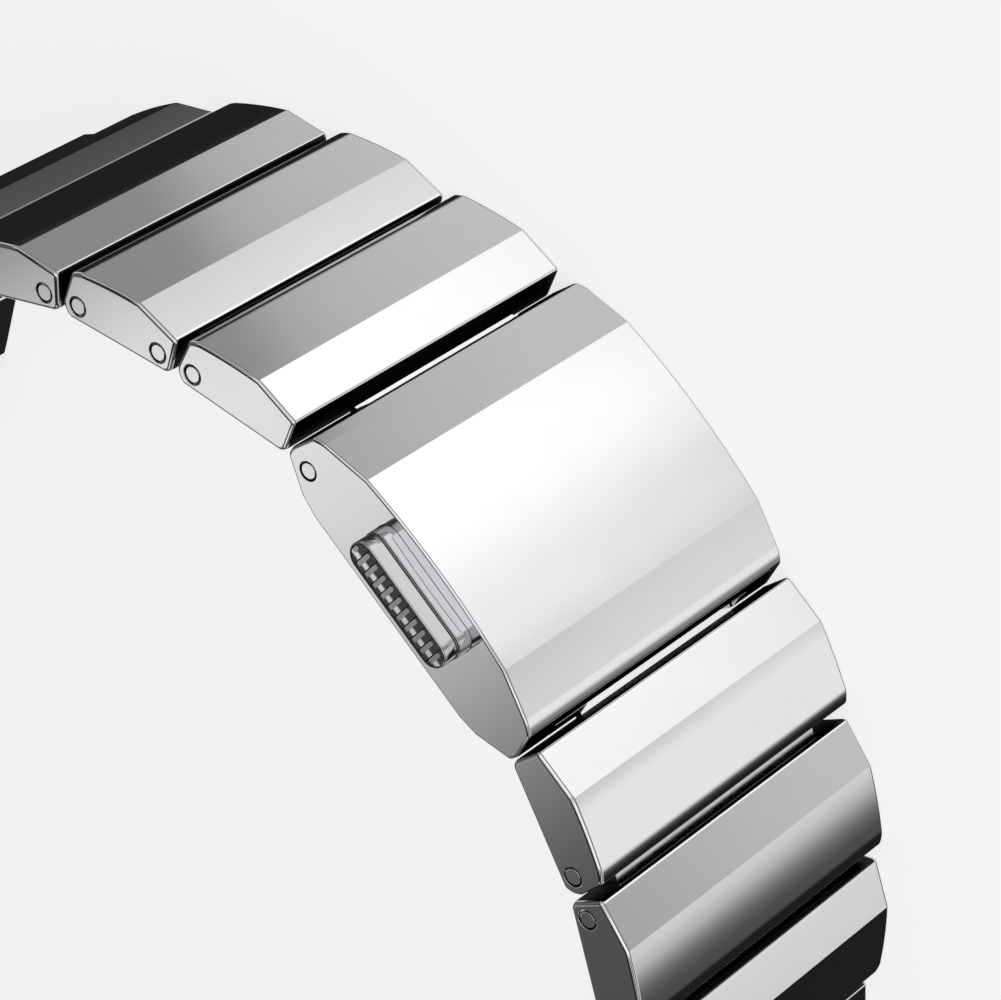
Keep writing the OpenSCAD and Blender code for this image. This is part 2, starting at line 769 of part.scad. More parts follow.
// One unbroken coil of round wire along z, as a tube of six sides with eight rings a turn
module coil(radius, wire, low, high, turns) {
    turn_rings = 8;
    rings = turns * turn_rings;
    sides = 6;
    climb = high - low - 2 * wire;
    points = [for (i = [0:rings], s = [0:sides - 1])
        let (a = i * 360 / turn_rings, b = s * 360 / sides)
        [(radius + wire * cos(b)) * cos(a), (radius + wire * cos(b)) * sin(a),
         low + wire + climb * i / rings + wire * sin(b)]];
    walls = [for (i = [0:rings - 1], s = [0:sides - 1])
        let (p = i * sides + s, q = i * sides + (s + 1) % sides)
        each [[p, q, q + sides], [p, q + sides, p + sides]]];
    ends = concat(
        [for (s = [1:sides - 2]) [0, s + 1, s]],
        [for (s = [1:sides - 2]) [rings * sides, rings * sides + s, rings * sides + s + 1]]);
    polyhedron(points, concat(walls, ends));
}

button_spring_low = chamber_back - spring_well + coil_end_play;
button_spring_high = button_back + spring_seat - coil_end_play;
echo(button_spring_gap = (button_spring_high - button_spring_low - 2 * button_wire) / button_turns
    - 2 * button_wire);

module button_springs() {
    color(spring_steel) at_button() for (x = [-spring_offset, spring_offset])
        translate([x, 0, 0])
            coil(button_coil, button_wire, button_spring_low, button_spring_high, button_turns);
}

// Spring bar: a tube with pinched ends, two sprung tips and the coil between them
bar_bore = bar_radius - bar_wall;
bar_end = 0.4;
bar_low = link_cheek + cheek_play;
head_length = 0.6;
head_gap = 0.05;
head_low = bar_low + bar_end + head_gap;
nose_face = (strap_width - nose_width) / 2;
tip_end = nose_face - tip_reach;
bar_wire = 0.08;
bar_coil_play = 0.08;
bar_coil = bar_bore - bar_wire - bar_coil_play;
bar_spring_low = head_low + head_length + coil_end_play;
echo(bar_spring_gap = (strap_width - 2 * bar_spring_low - 2 * bar_wire) / bar_turns - 2 * bar_wire);

module at_bar() {
    translate([far_pin.x, nose_rise, 0]) children();
}

module bar_tube() {
    color(pin_steel) at_bar() difference() {
        slab(bar_low, strap_width - bar_low) circle(r = bar_radius);
        slab(bar_low + bar_end, strap_width - bar_low - bar_end) circle(r = bar_bore);
        slab(0, strap_width) circle(r = tip_radius + tip_step + pin_play);
    }
}

module bar_tip() {
    color(pin_steel) at_bar() {
        slab(head_low, head_low + head_length) circle(r = bar_bore - pin_play);
        slab(nose_face, head_low + overlap) circle(r = tip_radius + tip_step);
        slab(tip_end, nose_face + overlap) circle(r = tip_radius);
    }
}

module bar_tip_near() {
    translate([0, 0, strap_width]) mirror([0, 0, 1]) bar_tip();
}

module bar_spring() {
    color(spring_steel) at_bar()
        coil(bar_coil, bar_wire, bar_spring_low, strap_width - bar_spring_low, bar_turns);
}

in_place() clasp_case();
in_place() clasp_cover();
in_place() cover_screws();
in_place() clasp_hinge_pin();
in_place() catch_spring();
in_place() catch_screw();
in_place() button_body();
in_place() button_cap();
in_place() button_inlay();
in_place() button_springs();
in_place() insert_blade();
in_place() insert_hinge_pin();
side_a() at_link(lean_a, 0) tongue_link();  // link_a1
side_a() at_link(lean_a, 1) link();  // link_a2
side_a() at_link(lean_a, 2) link();  // link_a3
side_a() at_link(lean_a, 3) link();  // link_a4
side_a() at_link(lean_a, 4) link();  // link_a5
side_a() at_link(lean_a, 5) link();  // link_a6
side_a() at_link(lean_a, 6) end_link();  // end_link_a
side_b() at_link(lean_b, 0) tongue_link();  // link_b1
side_b() at_link(lean_b, 1) link();  // link_b2
side_b() at_link(lean_b, 2) link();  // link_b3
side_b() at_link(lean_b, 3) link();  // link_b4
side_b() at_link(lean_b, 4) link();  // link_b5
side_b() at_link(lean_b, 5) link();  // link_b6
side_b() at_link(lean_b, 6) end_link();  // end_link_b
side_a() at_connector(lean_a, 1) connector();  // connector_a1
side_a() at_connector(lean_a, 2) connector();  // connector_a2
side_a() at_connector(lean_a, 3) connector();  // connector_a3
side_a() at_connector(lean_a, 4) connector();  // connector_a4
side_a() at_connector(lean_a, 5) connector();  // connector_a5
side_a() at_connector(lean_a, 6) connector();  // connector_a6
side_b() at_connector(lean_b, 1) connector();  // connector_b1
side_b() at_connector(lean_b, 2) connector();  // connector_b2
side_b() at_connector(lean_b, 3) connector();  // connector_b3
side_b() at_connector(lean_b, 4) connector();  // connector_b4
side_b() at_connector(lean_b, 5) connector();  // connector_b5
side_b() at_connector(lean_b, 6) connector();  // connector_b6
side_a() at_connector(lean_a, 1) connector_pins();  // pins_a1
side_a() at_connector(lean_a, 2) connector_pins();  // pins_a2
side_a() at_connector(lean_a, 3) connector_pins();  // pins_a3
side_a() at_connector(lean_a, 4) connector_pins();  // pins_a4
side_a() at_connector(lean_a, 5) connector_pins();  // pins_a5
side_a() at_connector(lean_a, 6) connector_pins();  // pins_a6
side_b() at_connector(lean_b, 1) connector_pins();  // pins_b1
side_b() at_connector(lean_b, 2) connector_pins();  // pins_b2
side_b() at_connector(lean_b, 3) connector_pins();  // pins_b3
side_b() at_connector(lean_b, 4) connector_pins();  // pins_b4
side_b() at_connector(lean_b, 5) connector_pins();  // pins_b5
side_b() at_connector(lean_b, 6) connector_pins();  // pins_b6
side_a() at_link(lean_a, 6) bar_tube();  // spring_bar_tube_a
side_a() at_link(lean_a, 6) bar_tip_near();  // spring_bar_tip_a_near
side_a() at_link(lean_a, 6) bar_tip();  // spring_bar_tip_a_far
side_a() at_link(lean_a, 6) bar_spring();  // spring_bar_spring_a
side_b() at_link(lean_b, 6) bar_tube();  // spring_bar_tube_b
side_b() at_link(lean_b, 6) bar_tip_near();  // spring_bar_tip_b_near
side_b() at_link(lean_b, 6) bar_tip();  // spring_bar_tip_b_far
side_b() at_link(lean_b, 6) bar_spring();  // spring_bar_spring_b
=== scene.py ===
# Steel watch bracelet: polished solid links and a push-button clasp, laid on its side
import json
import math

import bmesh
import bpy
from mathutils import Matrix, Vector


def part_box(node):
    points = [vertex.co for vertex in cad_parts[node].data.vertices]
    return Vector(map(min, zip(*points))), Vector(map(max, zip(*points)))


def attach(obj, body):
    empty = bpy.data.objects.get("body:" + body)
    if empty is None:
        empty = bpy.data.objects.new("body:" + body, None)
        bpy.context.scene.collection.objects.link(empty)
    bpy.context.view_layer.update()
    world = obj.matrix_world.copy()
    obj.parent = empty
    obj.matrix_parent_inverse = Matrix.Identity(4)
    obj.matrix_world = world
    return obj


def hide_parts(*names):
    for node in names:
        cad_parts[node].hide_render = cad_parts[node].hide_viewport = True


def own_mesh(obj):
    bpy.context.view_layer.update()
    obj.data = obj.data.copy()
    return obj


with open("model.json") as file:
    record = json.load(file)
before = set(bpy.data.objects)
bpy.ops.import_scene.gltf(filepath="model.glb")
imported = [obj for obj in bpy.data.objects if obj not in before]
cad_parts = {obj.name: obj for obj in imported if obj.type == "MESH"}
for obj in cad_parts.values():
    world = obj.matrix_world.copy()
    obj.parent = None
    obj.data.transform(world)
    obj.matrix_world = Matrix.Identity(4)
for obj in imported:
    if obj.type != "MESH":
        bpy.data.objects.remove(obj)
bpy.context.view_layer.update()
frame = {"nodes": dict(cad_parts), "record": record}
record = frame["record"]
bodyOf = {n: body for body, members in record["behaviour"]["bodies"].items() for n in members}
slotOf = {s["node"]: s["material_slot"] for s in record["subparts"]}
mm = 0.001
print("frame loaded,", len(frame["nodes"]), "solids")


# Camera at the photograph's viewpoint, fitted to pairs of near and far edge points
# place and clipStart are in metres, lens and sensor in millimetres
camera = {
    "place": (-0.014286, -0.167749, 0.163979),
    "forward": (0.0707, 0.7418, -0.6668),
    "right": (-0.5866, -0.5098, -0.6293),
    "lens": 153.98,
    "sensor": 36.0,
    "clipStart": 0.01,
}


def makeCamera():
    data = bpy.data.cameras.new("photoCamera")
    data.lens = camera["lens"]
    data.sensor_width = camera["sensor"]
    data.clip_start = camera["clipStart"]
    holder = bpy.data.objects.new("photoCamera", data)
    bpy.context.scene.collection.objects.link(holder)
    forward = Vector(camera["forward"]).normalized()
    right = Vector(camera["right"])
    right = (right - forward * right.dot(forward)).normalized()
    turn = Matrix((right, right.cross(forward), -forward)).transposed().to_4x4()
    holder.matrix_world = Matrix.Translation(camera["place"]) @ turn
    bpy.context.scene.camera = holder


makeCamera()
bpy.context.scene.view_settings.view_transform = "Standard"
print("camera set")


# Colours are given as sRGB hex and turned to linear here
def linear(hexColour):
    parts = [int(hexColour[i:i + 2], 16) / 255 for i in (1, 3, 5)]
    return [p / 12.92 if p <= 0.04045 else ((p + 0.055) / 1.055) ** 2.4 for p in parts] + [1.0]


# Adds a node; inputs are plain values or another node's output, settings are its own properties
def addNode(tree, kind, inputs=None, **settings):
    node = tree.nodes.new(kind)
    for name, value in settings.items():
        setattr(node, name, value)
    for name, value in (inputs or {}).items():
        if isinstance(value, bpy.types.NodeSocket):
            tree.links.new(value, node.inputs[name])
        else:
            node.inputs[name].default_value = value
    return node


# The studio is a pale surround with soft boxes and black flags, each at an azimuth and a range of height
# Azimuths and heights are in degrees; level 1 is white; soft and fade are the widths of the edges
# The later cards hang in front of the earlier ones
# The surround turns to the overhead's level between the heights turnLow and turnHigh
studio = {
    "surround": 0.5,
    "overhead": 0.85,
    "turnLow": 8,
    "turnHigh": 26,
    "background": "#f2f2f2",
    "cards": [
        {"name": "horizon dip", "azimuth": -90, "half": 85, "soft": 12,
         "low": -20, "high": 15, "fade": 6, "level": 0.28},
        {"name": "back wall", "azimuth": 90, "half": 84, "soft": 10,
         "low": -34, "high": -4, "fade": 4, "level": 0.7},
        {"name": "back wall shade", "azimuth": 90, "half": 84, "soft": 8,
         "low": -2, "high": 30, "fade": 3, "level": 0.1},
        {"name": "back soft box", "azimuth": 90, "half": 84, "soft": 8,
         "low": 33, "high": 44.5, "fade": 1.5, "level": 1.0},
        {"name": "back top flag", "azimuth": 90, "half": 84, "soft": 8,
         "low": 47.5, "high": 84, "fade": 2.5, "level": 0.03},
        {"name": "back edge flag", "azimuth": 65.5, "half": 9.7, "soft": 4.8,
         "low": 33, "high": 47, "fade": 3, "level": 0.28},
        {"name": "back middle flag", "azimuth": 104, "half": 12, "soft": 11,
         "low": 33, "high": 47, "fade": 3, "level": 0.1},
        {"name": "floor glow", "azimuth": -90, "half": 90, "soft": 20,
         "low": -90, "high": -44, "fade": 5, "level": 0.7},
        {"name": "front fill", "azimuth": -86, "half": 10, "soft": 14,
         "low": -41, "high": -24, "fade": 10, "level": 1.13},
        {"name": "front soft box", "azimuth": -70, "half": 8, "soft": 17,
         "low": -41, "high": -24, "fade": 10, "level": 1.4},
        {"name": "left soft box", "azimuth": -144.5, "half": 14, "soft": 8,
         "low": -60, "high": -24, "fade": 8, "level": 1.05},
        {"name": "right shade", "azimuth": -10, "half": 14, "soft": 16,
         "low": -39.6, "high": -24, "fade": 1.2, "level": 0.33},
        {"name": "left floor flag", "azimuth": 165, "half": 23, "soft": 25,
         "low": -90, "high": -37, "fade": 3, "level": 0.08},
        {"name": "back floor flag", "azimuth": 98.2, "half": 77.8, "soft": 16,
         "low": -90, "high": -37, "fade": 3, "level": 0.017},
        {"name": "front top box", "azimuth": -85, "half": 9, "soft": 5,
         "low": 34, "high": 48, "fade": 3, "level": 1.7},
        {"name": "front top flag", "azimuth": -104, "half": 6, "soft": 4,
         "low": 34, "high": 48, "fade": 3, "level": 0.35},
        {"name": "left top box", "azimuth": -133, "half": 12, "soft": 4,
         "low": 34, "high": 48, "fade": 3, "level": 1.7},
        {"name": "left top flag", "azimuth": 178, "half": 28, "soft": 6,
         "low": 34, "high": 48, "fade": 3, "level": 0.03},
        {"name": "right top flag", "azimuth": 12, "half": 40, "soft": 5,
         "low": 34, "high": 48, "fade": 3, "level": 0.08},
    ],
}


def makeStudio():
    world = bpy.data.worlds.new("paleStudio")
    bpy.context.scene.world = world
    world.use_nodes = True
    tree = world.node_tree
    tree.nodes.clear()
    direction = addNode(tree, "ShaderNodeTexCoord").outputs["Generated"]
    direction = addNode(tree, "ShaderNodeVectorMath", {0: direction}, operation="NORMALIZE").outputs[0]
    parts = addNode(tree, "ShaderNodeSeparateXYZ", {0: direction}).outputs
    height = addNode(tree, "ShaderNodeMath", {0: parts["Z"]}, operation="ARCSINE").outputs[0]
    height = addNode(tree, "ShaderNodeMath", {0: height}, operation="DEGREES").outputs[0]
    level = addNode(tree, "ShaderNodeMapRange", {
        "Value": height, "From Min": studio["turnLow"], "From Max": studio["turnHigh"],
        "To Min": studio["surround"], "To Max": studio["overhead"],
    }, interpolation_type="SMOOTHSTEP").outputs[0]
    flat = addNode(tree, "ShaderNodeCombineXYZ", {"X": parts["X"], "Y": parts["Y"]}).outputs[0]
    flat = addNode(tree, "ShaderNodeVectorMath", {0: flat}, operation="NORMALIZE").outputs[0]
    for card in studio["cards"]:
        a = math.radians(card["azimuth"])
        away = addNode(tree, "ShaderNodeVectorMath", {0: flat, 1: (math.cos(a), math.sin(a), 0)},
                       operation="DOT_PRODUCT").outputs["Value"]
        away = addNode(tree, "ShaderNodeMath", {0: away}, operation="ARCCOSINE").outputs[0]
        across = addNode(tree, "ShaderNodeMapRange", {
            "Value": away, "From Min": math.radians(card["half"] + card["soft"]),
            "From Max": math.radians(card["half"]), "To Min": 0, "To Max": 1,
        }, interpolation_type="SMOOTHSTEP").outputs[0]
        over = addNode(tree, "ShaderNodeMapRange", {
            "Value": height, "From Min": card["low"] - card["fade"], "From Max": card["low"],
            "To Min": 0, "To Max": 1,
        }, interpolation_type="SMOOTHSTEP").outputs[0]
        under = addNode(tree, "ShaderNodeMapRange", {
            "Value": height, "From Min": card["high"] + card["fade"], "From Max": card["high"],
            "To Min": 0, "To Max": 1,
        }, interpolation_type="SMOOTHSTEP").outputs[0]
        mask = addNode(tree, "ShaderNodeMath", {0: over, 1: under}, operation="MULTIPLY").outputs[0]
        mask = addNode(tree, "ShaderNodeMath", {0: mask, 1: across}, operation="MULTIPLY").outputs[0]
        level = addNode(tree, "ShaderNodeMix", {0: mask, 2: level, 3: card["level"]}).outputs[0]
    cards = addNode(tree, "ShaderNodeBackground", {"Color": (1, 1, 1, 1), "Strength": level})
    plain = addNode(tree, "ShaderNodeBackground", {"Color": linear(studio["background"]), "Strength": 1})
    seen = addNode(tree, "ShaderNodeLightPath").outputs["Is Camera Ray"]
    mixed = addNode(tree, "ShaderNodeMixShader", {0: seen, 1: cards.outputs[0], 2: plain.outputs[0]})
    addNode(tree, "ShaderNodeOutputWorld", {"Surface": mixed.outputs[0]})


makeStudio()

# One broad soft lamp overhead draws the shadow under the bracelet; metres and watts
lamp = {"height": 0.5, "size": 0.5, "power": 1.5, "place": (-0.06, -0.1)}


def makeLamp():
    data = bpy.data.lights.new("overheadLamp", "AREA")
    data.shape = "DISK"
    data.size = lamp["size"]
    data.energy = lamp["power"]
    holder = bpy.data.objects.new("overheadLamp", data)
    bpy.context.scene.collection.objects.link(holder)
    holder.location = (*lamp["place"], lamp["height"])
    holder.rotation_euler = (-holder.location).to_track_quat("-Z", "Y").to_euler()
    holder.visible_glossy = False


makeLamp()

# To the camera the paper glows a little, as it does under a studio's even light, so its shadow stays faint
# size is in metres
floor = {"size": 3.0, "colour": "#efefef", "below": 0.02 * mm, "glow": 0.84, "glowColour": "#f6f6f6"}


def makeFloor():
    half = floor["size"] / 2
    mesh = bpy.data.meshes.new("floor")
    corners = [(-half, -half, 0), (half, -half, 0), (half, half, 0), (-half, half, 0)]
    mesh.from_pydata(corners, [], [(0, 1, 2, 3)])
    sweep = bpy.data.objects.new("floor", mesh)
    sweep.location.z = -floor["below"]
    bpy.context.scene.collection.objects.link(sweep)
    # Matt seamless paper: even, with no gloss
    paper = bpy.data.materials.new("matt seamless paper")
    paper.use_nodes = True
    shader = paper.node_tree.nodes["Principled BSDF"]
    shader.inputs["Base Color"].default_value = linear(floor["colour"])
    shader.inputs["Roughness"].default_value = 1.0
    shader.inputs["Specular IOR Level"].default_value = 0.0
    tree = paper.node_tree
    glow = addNode(tree, "ShaderNodeEmission", {"Color": linear(floor["glowColour"]), "Strength": 1.0})
    seen = addNode(tree, "ShaderNodeLightPath").outputs["Is Camera Ray"]
    share = addNode(tree, "ShaderNodeMath", {0: seen, 1: floor["glow"]}, operation="MULTIPLY").outputs[0]
    mixed = addNode(tree, "ShaderNodeMixShader", {0: share, 1: shader.outputs[0], 2: glow.outputs[0]})
    tree.links.new(mixed.outputs[0], tree.nodes["Material Output"].inputs["Surface"])
    mesh.materials.append(paper)
    # The steel mirrors the studio's cards rather than the paper just in front of it
    sweep.visible_glossy = False


makeFloor()
print("studio ready")


# Materials
# Each starts from what the metal is and how its surface was made
def newMaterial(name):
    material = bpy.data.materials.new(name)
    material.use_nodes = True
    return material, material.node_tree, material.node_tree.nodes["Principled BSDF"]


# The noise of lines and that of clouds add up to between low and high, which spans the range of roughness
pattern = {"lineDetail": 2, "cloudDetail": 3, "low": 0.6, "high": 1.4}


def metalMaterial(finish):
    material, tree, shader = newMaterial(finish["name"])
    where = addNode(tree, "ShaderNodeTexCoord").outputs["Object"]
    # Lines left by the wheel run across the strap, so the pattern is stretched along z
    across = 1 / (finish["lineSpacing"] * mm)
    along = 1 / (finish["lineLength"] * mm)
    stretched = addNode(tree, "ShaderNodeVectorMath", {0: where, 1: (across, across, along)},
                        operation="MULTIPLY").outputs[0]
    lines = addNode(tree, "ShaderNodeTexNoise", {
        "Vector": stretched, "Scale": 1.0, "Detail": pattern["lineDetail"],
    }).outputs[0]
    clouds = addNode(tree, "ShaderNodeTexNoise", {
        "Vector": where, "Scale": 1 / (finish["cloudSize"] * mm), "Detail": pattern["cloudDetail"],
    }).outputs[0]
    tone = addNode(tree, "ShaderNodeMix", {
        0: clouds, 6: linear(finish["colour"]), 7: linear(finish["colourSoft"]),
    }, data_type="RGBA").outputs[2]
    tree.links.new(tone, shader.inputs["Base Color"])
    shader.inputs["Metallic"].default_value = 1.0
    blend = addNode(tree, "ShaderNodeMath", {0: lines, 1: clouds}, operation="ADD").outputs[0]
    rough = addNode(tree, "ShaderNodeMapRange", {
        "Value": blend, "From Min": pattern["low"], "From Max": pattern["high"],
        "To Min": finish["roughLow"], "To Max": finish["roughHigh"],
    }).outputs[0]
    tree.links.new(rough, shader.inputs["Roughness"])
    bump = addNode(tree, "ShaderNodeBump", {
        "Height": lines, "Strength": finish["bump"], "Distance": finish["lineDepth"] * mm,
    })
    # A fixed facing replaces the surface's own normal, which paints one highlight over the whole face
    if "facing" in finish:
        a = math.radians(finish["facing"])
        facing = addNode(tree, "ShaderNodeVectorTransform", {"Vector": (math.cos(a), math.sin(a), 0)},
                         vector_type="NORMAL", convert_from="OBJECT", convert_to="WORLD")
        tree.links.new(facing.outputs[0], bump.inputs["Normal"])
    tree.links.new(bump.outputs[0], shader.inputs["Normal"])
    return material


# Stainless steel, faceted and polished on a wheel: clear soft reflections with a trace of fine lines
# Real polishing lines are 0.01 mm apart, drawn coarser so that they show
polished = {
    "name": "wheel-polished stainless steel", "colour": "#e0e1e3", "colourSoft": "#dbdcde",
    "lineSpacing": 0.05, "lineLength": 4, "lineDepth": 0.0004, "bump": 0.15,
    "cloudSize": 3, "roughLow": 0.04, "roughHigh": 0.08,
}
polishedSteel = metalMaterial(polished)
# The same with its shading turned to one fixed direction: a painted highlight, a bright bar of the studio's
# front on each tongue's neck, with no round modelled
# facing is the azimuth in degrees to which the painted shading looks
paintedBarSteel = metalMaterial({**polished, "name": "wheel-polished stainless steel, rounded", "facing": -92})
# Stainless steel, lapped: the button is polished as the links are, with a slightly greyer tone
lappedSteel = metalMaterial({
    "name": "lapped stainless steel", "colour": "#babbbd", "colourSoft": "#b4b5b7",
    "lineSpacing": 0.05, "lineLength": 2, "lineDepth": 0.0004, "bump": 0.15,
    "cloudSize": 1.5, "roughLow": 0.05, "roughHigh": 0.09,
})
# Stainless steel, satin-brushed: a broad soft sheen with lines across the strap
# Real brush lines are 0.03 mm apart, drawn coarser so that they show
satinSteel = metalMaterial({
    "name": "satin-brushed stainless steel", "colour": "#cfd0d2", "colourSoft": "#c6c7ca",
    "lineSpacing": 0.08, "lineLength": 6, "lineDepth": 0.003, "bump": 0.5,
    "cloudSize": 2, "roughLow": 0.22, "roughHigh": 0.34,
})
# Stainless steel pins and plates, ground: a little greyer and hazier than the facets
groundSteel = metalMaterial({
    "name": "ground stainless steel", "colour": "#c3c5c8", "colourSoft": "#b9bbbf",
    "lineSpacing": 0.06, "lineLength": 0.5, "lineDepth": 0.0012, "bump": 0.4,
    "cloudSize": 0.8, "roughLow": 0.16, "roughHigh": 0.26,
})
# Spring steel, drawn and tempered: a faint straw tint, with lines along the wire
springSteel = metalMaterial({
    "name": "drawn and tempered spring steel", "colour": "#bdb6a6", "colourSoft": "#aca38f",
    "lineSpacing": 0.06, "lineLength": 1, "lineDepth": 0.001, "bump": 0.4,
    "cloudSize": 0.6, "roughLow": 0.2, "roughHigh": 0.32,
})
# Blackened steel bars, rubbed to an even satin grey by fingers
rubbedSteel = metalMaterial({
    "name": "blackened steel, rubbed to a satin grey", "colour": "#a6a7a9", "colourSoft": "#9c9d9f",
    "lineSpacing": 0.04, "lineLength": 0.2, "lineDepth": 0.0008, "bump": 0.3,
    "cloudSize": 0.2, "roughLow": 0.12, "roughHigh": 0.2,
})
# Painted shade: milled stainless steel drawn near black inside the gaps, pockets and recesses, where shade
# falls
gapShadeSteel = metalMaterial({
    "name": "milled stainless steel, dark as painted shade", "colour": "#2c2d2f", "colourSoft": "#232426",
    "lineSpacing": 0.1, "lineLength": 3, "lineDepth": 0.003, "bump": 0.4,
    "cloudSize": 1, "roughLow": 0.3, "roughHigh": 0.45,
})
# Black oxide over steel, with bare bright metal along a crest as a painted highlight, drawn as wear;
# lengths in millimetres
oxide = {
    "colour": "#3a3b3d", "colourSoft": "#2f3032", "rough": 0.35, "bare": "#e4e5e7", "bareRough": 0.1,
    "grain": 0.05, "grainDepth": 0.0008, "bump": 0.3, "highlightHalf": 0.1, "highlightSoft": 0.15,
}


# crest is the place along y of the painted highlight, a band of bare metal drawn as lost oxide; without it
# the whole piece stays dark
def oxideMaterial(name, crest=None):
    material, tree, shader = newMaterial(name)
    where = addNode(tree, "ShaderNodeTexCoord").outputs["Object"]
    grain = addNode(tree, "ShaderNodeTexNoise", {
        "Vector": where, "Scale": 1 / (oxide["grain"] * mm), "Detail": pattern["lineDetail"],
    }).outputs[0]
    tone = addNode(tree, "ShaderNodeMix", {
        0: grain, 6: linear(oxide["colour"]), 7: linear(oxide["colourSoft"]),
    }, data_type="RGBA").outputs[2]
    shader.inputs["Roughness"].default_value = oxide["rough"]
    # The bare band along the crest is a painted highlight, drawn as wear
    if crest is not None:
        height = addNode(tree, "ShaderNodeSeparateXYZ", {0: where}).outputs["Y"]
        away = addNode(tree, "ShaderNodeMath", {0: height, 1: crest}, operation="SUBTRACT").outputs[0]
        away = addNode(tree, "ShaderNodeMath", {0: away}, operation="ABSOLUTE").outputs[0]
        highlightBand = addNode(tree, "ShaderNodeMapRange", {
            "Value": away, "From Min": (oxide["highlightHalf"] + oxide["highlightSoft"]) * mm,
            "From Max": oxide["highlightHalf"] * mm, "To Min": 0, "To Max": 1,
        }, interpolation_type="SMOOTHSTEP").outputs[0]
        tone = addNode(tree, "ShaderNodeMix", {
            0: highlightBand, 6: tone, 7: linear(oxide["bare"]),
        }, data_type="RGBA").outputs[2]
        rough = addNode(tree, "ShaderNodeMapRange", {
            "Value": highlightBand, "To Min": oxide["rough"], "To Max": oxide["bareRough"],
        }).outputs[0]
        tree.links.new(highlightBand, shader.inputs["Metallic"])
        tree.links.new(rough, shader.inputs["Roughness"])
    tree.links.new(tone, shader.inputs["Base Color"])
    bump = addNode(tree, "ShaderNodeBump", {
        "Height": grain, "Strength": oxide["bump"], "Distance": oxide["grainDepth"] * mm,
    })
    tree.links.new(bump.outputs[0], shader.inputs["Normal"])
    return material


# Black oxide; in the groove between the button's shank and cap it also serves as painted shade
blackOxideShadeSteel = oxideMaterial("black oxide on steel, also painted shade")
materialOf = {
    "polished_steel": polishedSteel, "satin_steel": satinSteel, "pin_steel": groundSteel,
    "spring_steel": springSteel, "dark_cap": lappedSteel,
}
for name, solid in frame["nodes"].items():
    finish = materialOf[slotOf[name]]
    if solid.material_slots:
        for holder in solid.material_slots:
            holder.material = finish
    else:
        solid.data.materials.append(finish)
print("materials made")


# Puts a finished piece on the body of the solid that it stands for
def place(piece, *nodes):
    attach(piece, bodyOf[nodes[0]])
    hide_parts(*nodes)
    return piece


# Splits edges into rings that hang together, largest first
def edgeRings(edges):
    left = set(edges)
    rings = []
    while left:
        ring, front = set(), {left.pop()}
        while front:
            edge = front.pop()
            ring.add(edge)
            for vert in edge.verts:
                for other in vert.link_edges:
                    if other in left:
                        left.discard(other)
                        front.add(other)
        rings.append(list(ring))

    def reach(ring):
        points = [v.co for e in ring for v in e.verts]
        return max(max(p[i] for p in points) - min(p[i] for p in points) for i in range(3))

    return sorted(rings, key=reach, reverse=True)


# Edge rounding: the solids have sharp rims, and the real ones are broken by tumbling and polishing
# rim is the rounding of a piece's outer rim, hole that of the rims of its holes, in millimetres
# crisp is the angle in degrees from which an edge between facets stays sharp
rounding = {
    "link": {"rim": 0.22, "hole": 0.03, "crisp": 17},
    "clasp": {"rim": 0.17, "hole": 0, "crisp": 11},
    "cover": {"rim": 0.08, "hole": 0.03, "crisp": 30},
    "blade": {"rim": 0.1, "hole": 0.04, "crisp": 30},
    "pin": {"rim": 0.03, "hole": 0.03, "crisp": 30},
    "shank": {"rim": 0.06, "hole": 0.03, "crisp": 30},
    "cap": {"rim": 0.085, "hole": 0, "crisp": 30},
    "connector": {"rim": 0.06, "hole": 0.02, "crisp": 30},
}
# Each rounding is drawn in this many steps, and a hairline frame this wide lies beside it on the side faces
roundingSteps = 3
frameWidth = 0.012
# How points, faces and edges are told apart, in millimetres and degrees
# Points nearer than weld are one, and so are faces that turn less than flat
# A rim lies within level of its plane and turns more than rimTurn
# A side face looks squarely out by side and lies within sideLevel of its plane
# An edge of the rounding that climbs more than across stays sharp if it turns more than ridge times crisp
telling = {
    "weld": 0.0005, "flat": 0.2, "level": 0.002, "rimTurn": 60, "side": 0.999, "sideLevel": 0.1,
    "across": 0.01, "ridge": 0.9,
}


# The long axis of a link, seen from above
def longAxis(node):
    points = [v.co for v in frame["nodes"][node].data.vertices]
    middle = sum(points, Vector()) / len(points)
    xx = sum((p.x - middle.x) ** 2 for p in points)
    yy = sum((p.y - middle.y) ** 2 for p in points)
    xy = sum((p.x - middle.x) * (p.y - middle.y) for p in points)
    turn = math.atan2(2 * xy, xx - yy) / 2
    return Vector((math.cos(turn), math.sin(turn), 0))


# Cuts faces along a plane
def cutFaces(mesh, faces, point, normal):
    edges = {e for f in faces for e in f.edges}
    verts = {v for f in faces for v in f.verts}
    bmesh.ops.bisect_plane(mesh, geom=list(verts) + list(edges) + faces, dist=telling["weld"] * mm,
                           plane_co=point, plane_no=normal)


# Rounds the rims in the planes at the given levels, and gives back the faces of the rounding
def roundRims(mesh, values, levels, axis):
    soft = set()
    for level in levels:
        rim = [e for e in mesh.edges if len(e.link_faces) == 2
               and all(abs(v.co[axis] - level) < telling["level"] * mm for v in e.verts)
               and e.calc_face_angle(0) > math.radians(telling["rimTurn"])]
        for index, ring in enumerate(edgeRings(rim)):
            width = values["rim"] if index == 0 else values["hole"]
            if not width:
                continue
            # Rounding one ring can take away edges of the next
            ring = [e for e in ring if e.is_valid]
            made = bmesh.ops.bevel(mesh, geom=ring, offset=width * mm, offset_type="OFFSET",
                                   segments=roundingSteps, profile=0.5, affect="EDGES",
                                   clamp_overlap=False, face_strength_mode="NEW")
            soft.update(f for f in made["faces"] if f.is_valid)
    return {f for f in soft if f.is_valid}


